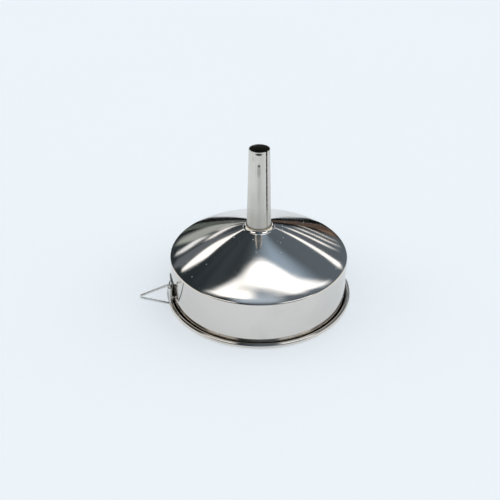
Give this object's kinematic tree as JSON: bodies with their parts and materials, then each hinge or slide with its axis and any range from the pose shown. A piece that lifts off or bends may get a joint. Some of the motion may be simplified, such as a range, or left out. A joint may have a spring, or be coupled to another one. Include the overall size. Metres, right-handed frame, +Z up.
{
  "type": "canning funnel",
  "caption": "Mouth-down metal funnel: shallow cone over a straight wall with a wired rolled rim, long tapered spout with a side seam, and a triangular wire loop that swings in a folded strap.",
  "frame": {"origin": "middle of the footprint of the whole object, loop included, on the plane the rim stands on; the funnel's own axis stands at X = 0.01023 m, Y = 0", "axes": "+Z up along the funnel's axis from the mouth to the spout's tip; the hanging loop points to -X"},
  "size_m": [0.191, 0.1706, 0.1441],
  "materials": {
    "polished_steel": "bright polished stainless steel with faint turning marks",
    "rim_wire_steel": "drawn wire, dull",
    "satin_steel": "satin stainless steel, rubbed along its length",
    "seam_weld_metal": "weld metal, dull and a little straw coloured",
    "neck_weld_metal": "dressed weld metal, a little straw coloured",
    "strap_steel": "bright rolled stainless strip",
    "loop_wire_steel": "bright drawn stainless wire"
  },
  "bodies": {
    "funnel": {"bowl": "polished_steel", "rim_wire": "rim_wire_steel", "spout": "satin_steel", "spout_seam_weld": "seam_weld_metal", "neck_weld": "neck_weld_metal", "hanger_strap": "strap_steel"},
    "loop": {"hanging_loop": "loop_wire_steel"}
  },
  "joints": [
    {"name": "loop_swing", "type": "hinge", "parent": "funnel", "child": "loop", "pos_m": [-0.06883, -0.02925, 0.01616], "axis": [0, 0, 1], "range_deg": [-86, 116]}
  ]
}
